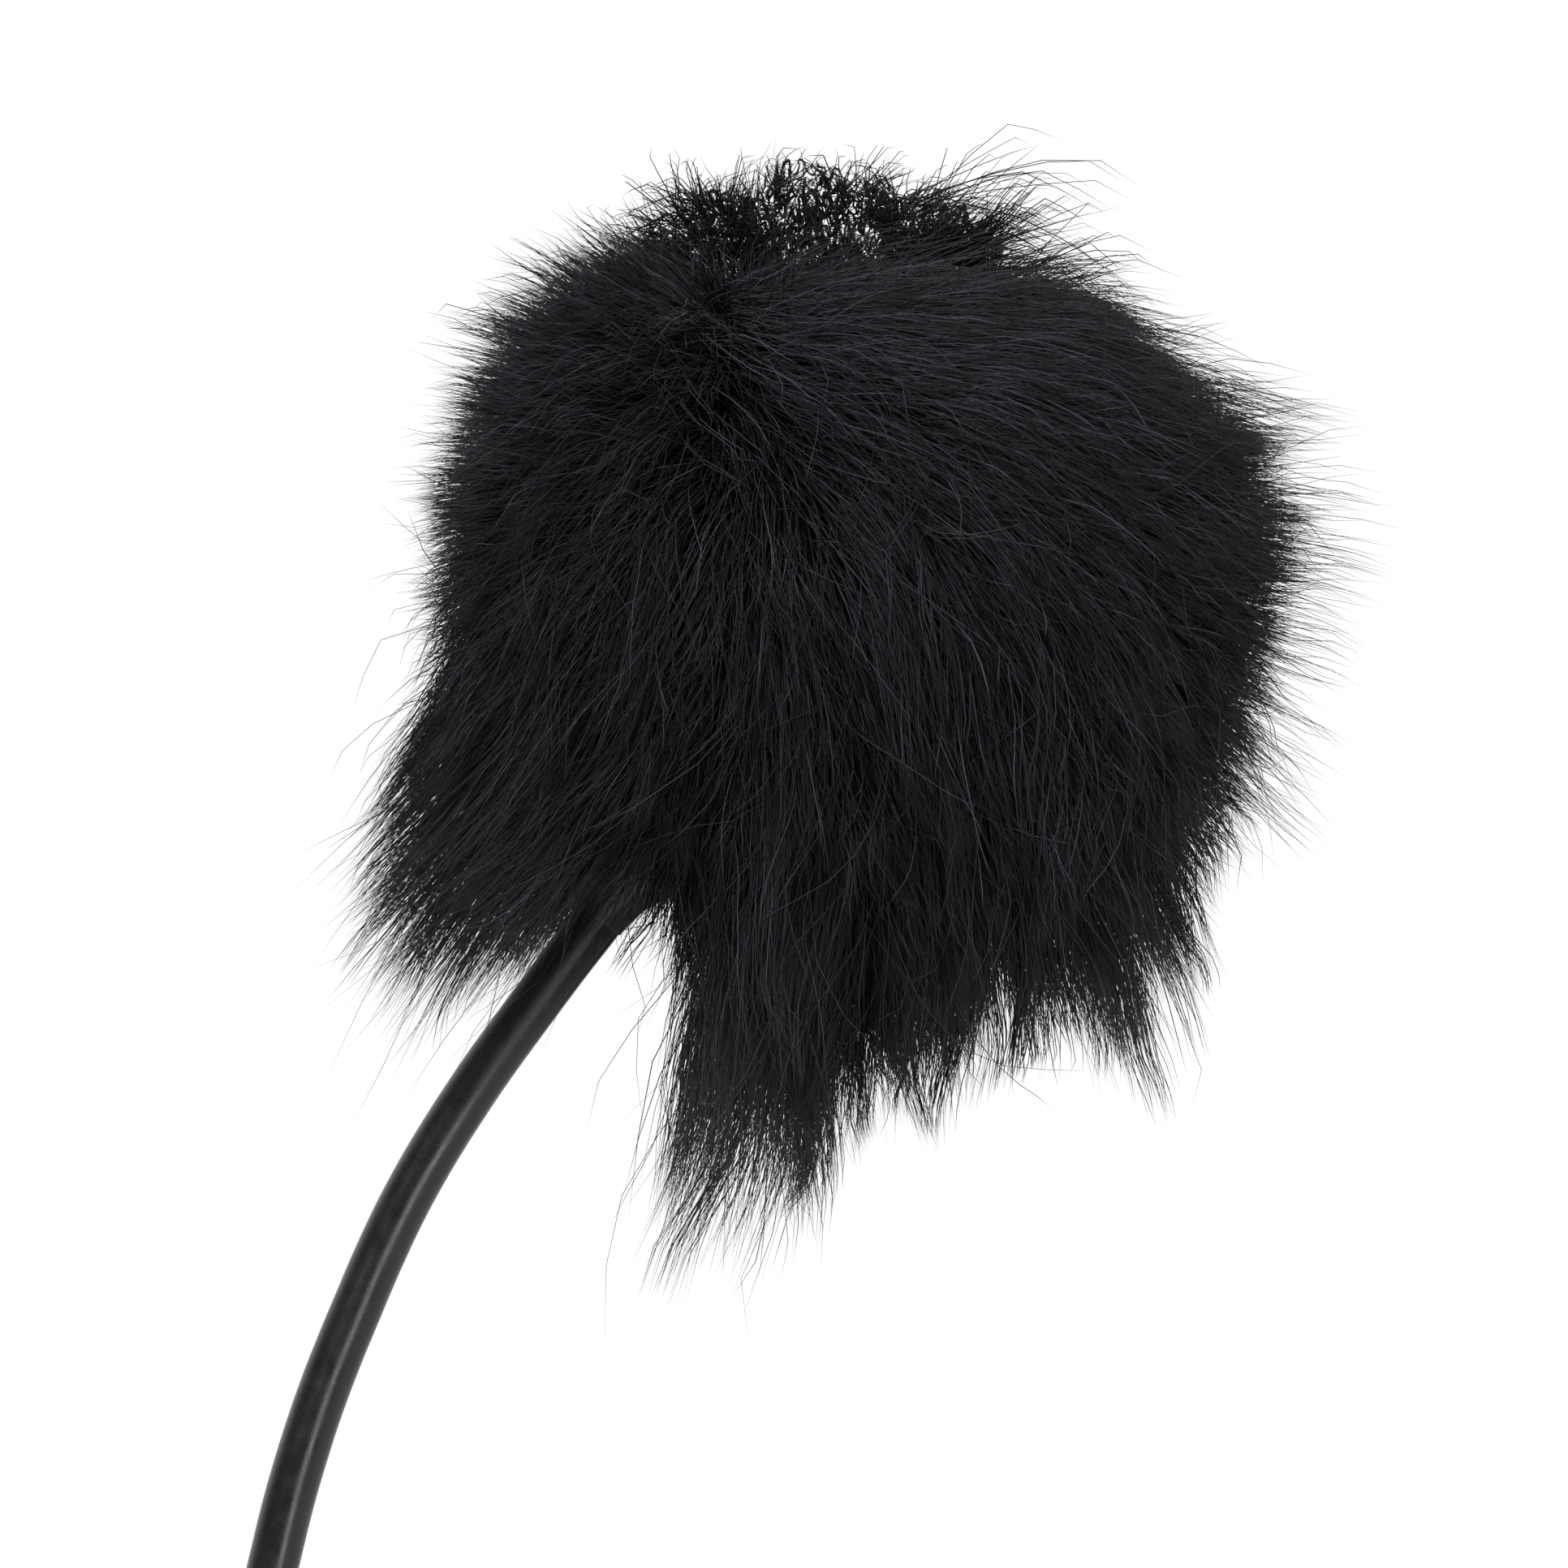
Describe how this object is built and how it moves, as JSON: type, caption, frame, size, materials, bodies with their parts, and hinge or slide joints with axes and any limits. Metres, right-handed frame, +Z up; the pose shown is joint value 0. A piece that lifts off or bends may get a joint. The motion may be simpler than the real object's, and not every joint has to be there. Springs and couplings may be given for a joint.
{
  "type": "furry microphone windscreen",
  "caption": "Black faux-fur windscreen, a foam-filled ball with hanging lobes and a sewn crest, fitted on a slim clip-on microphone with a coiled cable and a jack plug.",
  "frame": {"origin": "on the microphone's axis at the lower end face of its barrel, where a tie clip or holder grips it", "axes": "+Z up and +X to the right as pictured, with the camera looking along +Y; the microphone's axis leans 38 degrees from +Z towards +X"},
  "size_m": [0.0602, 0.0316, 0.1378],
  "materials": {
    "pile_fur": "long-haired acrylic pile, black, faint cool sheen on the lit hairs",
    "knit_backing": "coarse open knit, black, matt",
    "hem_fabric": "folded knit tape, black, matt",
    "elastic": "covered elastic cord, black",
    "foam": "open-cell acoustic foam, charcoal",
    "black_metal": "satin black plated brass",
    "steel_mesh": "woven stainless mesh",
    "felt": "acoustic felt, dark grey",
    "nickel": "bright nickel-coloured sheet metal",
    "brass_plate": "plain brass",
    "film": "metallised film",
    "white_plastic": "off-white insulating plastic",
    "board_green": "green board laminate",
    "chip_black": "moulded black package",
    "gasket_rubber": "soft black rubber",
    "boot_rubber": "satin black moulded elastomer",
    "cable_jacket": "smooth satin black jacket with a soft highlight",
    "wire_red": "red insulation",
    "wire_bare": "white insulation",
    "tie_strap": "black hook-and-loop strap",
    "handle_black": "satin black handle",
    "gold": "gold-plated contact",
    "insulator_black": "black insulating ring"
  },
  "bodies": {
    "microphone": {"mic_barrel": "black_metal", "grille_cap": "black_metal", "grille_mesh": "steel_mesh", "felt_disc": "felt", "capsule_can": "nickel", "diaphragm_ring": "brass_plate", "diaphragm": "film", "diaphragm_spacer": "white_plastic", "backplate": "brass_plate", "backplate_holder": "white_plastic", "amplifier_board": "board_green", "amplifier_chip": "chip_black", "capsule_gasket": "gasket_rubber", "cable_boot": "boot_rubber", "crimp_ring": "nickel", "signal_wire": "wire_red", "ground_wire": "wire_bare", "cable_run": "cable_jacket", "cable_coil": "cable_jacket", "cable_tail": "cable_jacket", "coil_tie": "tie_strap", "plug_boot": "boot_rubber", "plug_handle": "handle_black", "sleeve_contact": "gold", "sleeve_insulator": "insulator_black", "ring_contact": "gold", "ring_insulator": "insulator_black", "tip_contact": "gold"},
    "windscreen": {"foam_core": "foam", "hem_band": "hem_fabric", "hem_elastic": "elastic", "backing_front": "knit_backing", "backing_back": "knit_backing", "seam_crest": "knit_backing", "pile_front": "pile_fur", "pile_back": "pile_fur"}
  },
  "joints": [
    {"name": "windscreen_pull", "type": "slide", "parent": "microphone", "child": "windscreen", "axis": [0.6157, 0, 0.788], "range_m": [0, 0.018]}
  ]
}
